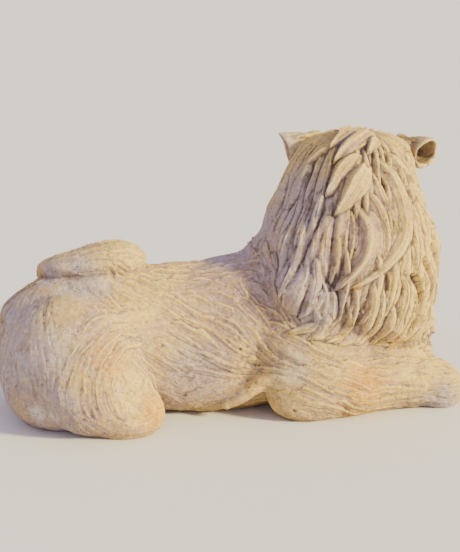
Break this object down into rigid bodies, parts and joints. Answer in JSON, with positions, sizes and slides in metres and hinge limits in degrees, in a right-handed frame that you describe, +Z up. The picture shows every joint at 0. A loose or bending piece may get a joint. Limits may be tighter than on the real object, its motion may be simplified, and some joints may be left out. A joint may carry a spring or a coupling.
{
  "type": "ceramic lion statue",
  "caption": "Reclining lion of hand-modelled fired clay, head turned to its left, carved mane, cupped ears and a tail laid over the hips; stands on its flat underside.",
  "frame": {"origin": "on the flat underside, below the middle of the back", "axes": "+X along the body from the rump to the forepaws, +Y to the lion's left, the side its head is turned to, +Z up"},
  "size_m": [0.9421, 0.4283, 0.5599],
  "materials": {
    "fired_clay": "unglazed, rough, buff with pinkish and orange patches"
  },
  "bodies": {
    "root": {"lion": "fired_clay"}
  },
  "joints": []
}
